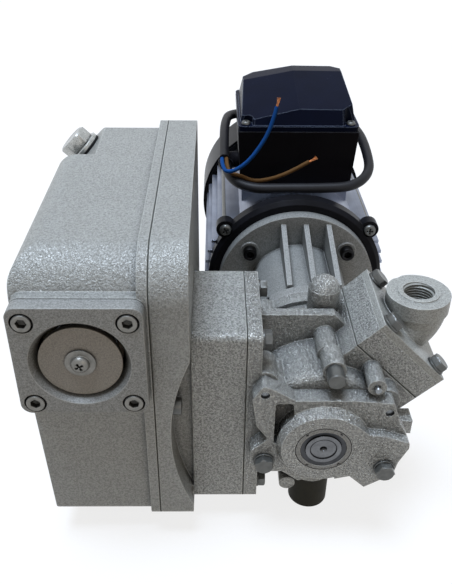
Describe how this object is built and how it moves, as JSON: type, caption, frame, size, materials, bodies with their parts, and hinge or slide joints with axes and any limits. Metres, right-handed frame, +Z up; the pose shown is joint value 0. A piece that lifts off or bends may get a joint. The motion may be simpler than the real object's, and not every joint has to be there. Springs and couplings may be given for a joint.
{
  "type": "rotary vane vacuum pump",
  "caption": "Oil lubricated rotary vane vacuum pump: exhaust box, transfer block, cast pump with angled inlet port, ribbed bell housing, foot mounted motor with terminal box and cable",
  "frame": {"origin": "centre of the underside of the front rubber foot, on the floor", "axes": "+X right towards the inlet, +Y back along the shaft from pump to motor, +Z up"},
  "size_m": [0.2446, 0.3827, 0.211],
  "materials": {
    "cast_paint": "grey green hammered paint on a rough casting",
    "smooth_paint": "smooth grey paint",
    "gasket_sheet": "dark fibre sheet",
    "zinc": "zinc plated steel",
    "spring_steel": "spring steel",
    "steel": "ground steel",
    "vane_resin": "dark moulded resin",
    "filter_cloth": "pale glass fibre fleece",
    "black_plastic": "moulded black plastic",
    "seal_rubber": "black rubber",
    "black_paint": "satin black paint",
    "aluminium": "drawn aluminium",
    "core_iron": "varnished core iron and winding",
    "clear_glass": "clear glass",
    "foot_rubber": "dark rubber",
    "cable_sheath": "black sheath",
    "blue_insulation": "blue wire insulation",
    "brown_insulation": "brown wire insulation"
  },
  "bodies": {
    "pump_frame": {"exhaust_box": "cast_paint", "box_cover": "cast_paint", "exhaust_plate": "cast_paint", "deflector_disc": "cast_paint", "transfer_block": "cast_paint", "pump_cylinder": "cast_paint", "front_end_cover": "cast_paint", "rear_end_cover": "cast_paint", "inlet_valve_body": "cast_paint", "bell_housing": "cast_paint", "inlet_elbow": "smooth_paint", "box_gasket": "gasket_sheet", "plate_gasket": "gasket_sheet", "block_gasket": "gasket_sheet", "inlet_gasket": "gasket_sheet", "box_cover_screws": "zinc", "plate_screws": "zinc", "disc_screw": "zinc", "casting_bolts": "zinc", "inlet_bolts": "zinc", "bell_screws": "zinc", "tie_rods": "zinc", "lid_screws": "zinc", "nozzle_plug": "zinc", "oil_filler_plug": "zinc", "filter_spring": "spring_steel", "inlet_screen": "spring_steel", "dowel_pins": "spring_steel", "bearing_outer_rings": "steel", "bearing_seals": "steel", "exhaust_filter": "filter_cloth", "terminal_box": "black_plastic", "terminal_lid": "black_plastic", "terminal_board": "black_plastic", "cable_gland": "black_plastic", "filler_seal": "seal_rubber", "motor_front_shield": "black_paint", "motor_rear_shield": "black_paint", "fan_cowl": "black_paint", "stator_housing": "aluminium", "sight_glass_ring": "aluminium", "oil_drain_plug": "aluminium", "stator_core": "core_iron", "sight_glass_lens": "clear_glass", "front_rubber_foot": "foot_rubber", "rear_rubber_feet": "foot_rubber", "power_cable": "cable_sheath", "blue_core": "blue_insulation", "brown_core": "brown_insulation"},
    "shaft": {"rotor": "steel", "vanes": "vane_resin", "bearing_inner_rings": "steel", "coupling_hubs": "vane_resin", "coupling_spider": "seal_rubber", "motor_rotor": "steel", "motor_fan": "vane_resin"},
    "bearing_cages": {"bearing_balls": "steel"},
    "inlet_valve": {"inlet_valve_plate": "spring_steel"},
    "exhaust_valve": {"exhaust_reed": "spring_steel"},
    "oil_float": {"float_lever": "black_plastic"}
  },
  "joints": [
    {"name": "shaft_spin", "type": "hinge", "parent": "pump_frame", "child": "shaft", "pos_m": [0, 0, 0.078], "axis": [0, 1, 0], "continuous": true},
    {"name": "cage_spin", "type": "hinge", "parent": "pump_frame", "child": "bearing_cages", "pos_m": [0, 0, 0.078], "axis": [0, 1, 0], "continuous": true},
    {"name": "inlet_valve_lift", "type": "slide", "parent": "pump_frame", "child": "inlet_valve", "axis": [-0.7071, 0, -0.7071], "range_m": [0, 0.004]},
    {"name": "exhaust_reed_lift", "type": "hinge", "parent": "pump_frame", "child": "exhaust_valve", "pos_m": [-0.04375, 0.0135, 0.1315], "axis": [0, 1, 0], "range_deg": [0, 7]},
    {"name": "float_lift", "type": "hinge", "parent": "pump_frame", "child": "oil_float", "pos_m": [-0.13635, 0.029, 0.0625], "axis": [1, 0, 0], "range_deg": [-8, 12]}
  ],
  "couplings": [
    {"joint": "cage_spin", "follows": "shaft_spin", "ratio": 0.435}
  ]
}
